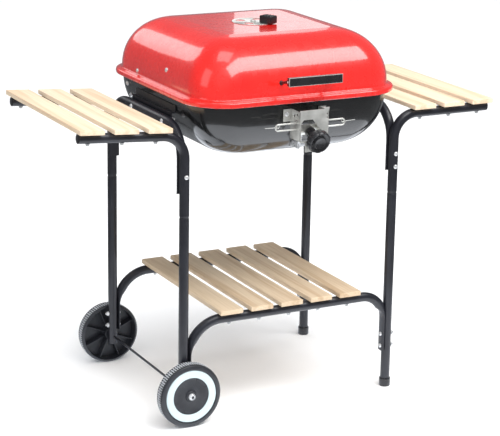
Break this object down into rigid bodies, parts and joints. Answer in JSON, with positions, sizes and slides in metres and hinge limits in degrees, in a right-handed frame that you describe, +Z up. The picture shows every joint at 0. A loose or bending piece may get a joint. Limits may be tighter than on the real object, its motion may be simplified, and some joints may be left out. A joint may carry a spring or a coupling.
{
  "type": "square kettle charcoal grill",
  "caption": "Square kettle charcoal grill with a hinged lid and a raisable charcoal bed, on a two-wheeled tube stand with slatted side tables and shelf.",
  "frame": {"origin": "middle of the footprint box on the floor", "axes": "+X from the wheel end to the foot end, along the side tables; -Y to the front, where the handle and the lift knob are; +Z up"},
  "size_m": [1.124, 0.6516, 0.9536],
  "materials": {
    "red_enamel": "high gloss enamel",
    "black_enamel": "high gloss enamel",
    "black_powder": "semi-gloss powder coat",
    "pine": "planed, bare",
    "black_plastic": "moulded, semi-gloss",
    "wheel_plastic": "moulded, satin",
    "white_plastic": "painted band, satin",
    "chrome": "bright plated",
    "zinc": "zinc plated",
    "grate_wire": "plated wire"
  },
  "bodies": {
    "stand": {"front_left_leg": "black_powder", "front_left_table_tube": "black_powder", "front_left_tube_plug": "black_plastic", "front_right_leg": "black_powder", "front_right_table_tube": "black_powder", "front_right_tube_plug": "black_plastic", "back_left_leg": "black_powder", "back_left_table_tube": "black_powder", "back_left_tube_plug": "black_plastic", "back_right_leg": "black_powder", "back_right_table_tube": "black_powder", "back_right_tube_plug": "black_plastic", "left_arch_tube": "black_powder", "right_arch_tube": "black_powder", "left_bowl_bracket": "black_powder", "right_bowl_bracket": "black_powder", "front_shelf_tube": "black_powder", "back_shelf_tube": "black_powder", "shelf_slat_1": "pine", "shelf_slat_2": "pine", "shelf_slat_3": "pine", "shelf_slat_4": "pine", "shelf_slat_5": "pine", "left_table_slat_1": "pine", "left_table_slat_2": "pine", "left_table_slat_3": "pine", "right_table_slat_1": "pine", "right_table_slat_2": "pine", "right_table_slat_3": "pine", "axle": "black_powder", "front_push_nut": "zinc", "back_push_nut": "zinc", "front_foot_cap": "black_plastic", "back_foot_cap": "black_plastic", "bowl": "black_enamel", "cooking_grate": "grate_wire", "lift_bracket": "chrome", "left_wire_hook": "chrome", "right_wire_hook": "chrome", "left_hinge_bolt": "zinc", "right_hinge_bolt": "zinc", "left_stop_bolt": "zinc", "right_stop_bolt": "zinc"},
    "lid": {"lid": "red_enamel", "lid_handle_bar": "black_plastic", "left_handle_post": "black_plastic", "right_handle_post": "black_plastic", "left_lid_arm": "zinc", "right_lid_arm": "zinc"},
    "top_vent": {"top_vent_disc": "chrome", "top_vent_tab": "black_plastic"},
    "damper": {"bowl_damper": "zinc"},
    "lift_drive": {"lift_knob": "black_plastic", "lift_shaft": "zinc"},
    "charcoal_carriage": {"charcoal_grate": "grate_wire", "charcoal_lifter": "zinc"},
    "front_wheel": {"front_wheel": "wheel_plastic", "front_wheel_band": "white_plastic"},
    "back_wheel": {"back_wheel": "wheel_plastic", "back_wheel_band": "white_plastic"}
  },
  "joints": [
    {"name": "lid_hinge", "type": "hinge", "parent": "stand", "child": "lid", "pos_m": [0, 0.1953, 0.737], "axis": [-1, 0, 0], "range_deg": [0, 62]},
    {"name": "top_vent_turn", "type": "hinge", "parent": "lid", "child": "top_vent", "pos_m": [0, 0.0353, 0.932], "axis": [0, 0, 1], "range_deg": [0, 45]},
    {"name": "damper_turn", "type": "hinge", "parent": "stand", "child": "damper", "pos_m": [0, 0.0353, 0.6517], "axis": [0, 0, 1], "range_deg": [0, 45]},
    {"name": "charcoal_lift", "type": "slide", "parent": "stand", "child": "charcoal_carriage", "axis": [0, -0.309, 0.9511], "range_m": [0, 0.048]},
    {"name": "lift_knob_turn", "type": "hinge", "parent": "stand", "child": "lift_drive", "pos_m": [0, -0.3087, 0.7025], "axis": [0, 0.9511, 0.309], "range_deg": [0, 345]},
    {"name": "front_wheel_roll", "type": "hinge", "parent": "stand", "child": "front_wheel", "pos_m": [-0.288, -0.1822, 0.08], "axis": [0, 1, 0], "continuous": true},
    {"name": "back_wheel_roll", "type": "hinge", "parent": "stand", "child": "back_wheel", "pos_m": [-0.288, 0.2528, 0.08], "axis": [0, 1, 0], "continuous": true}
  ],
  "couplings": [
    {"joint": "lift_knob_turn", "follows": "charcoal_lift", "rad_per_m": 125}
  ]
}
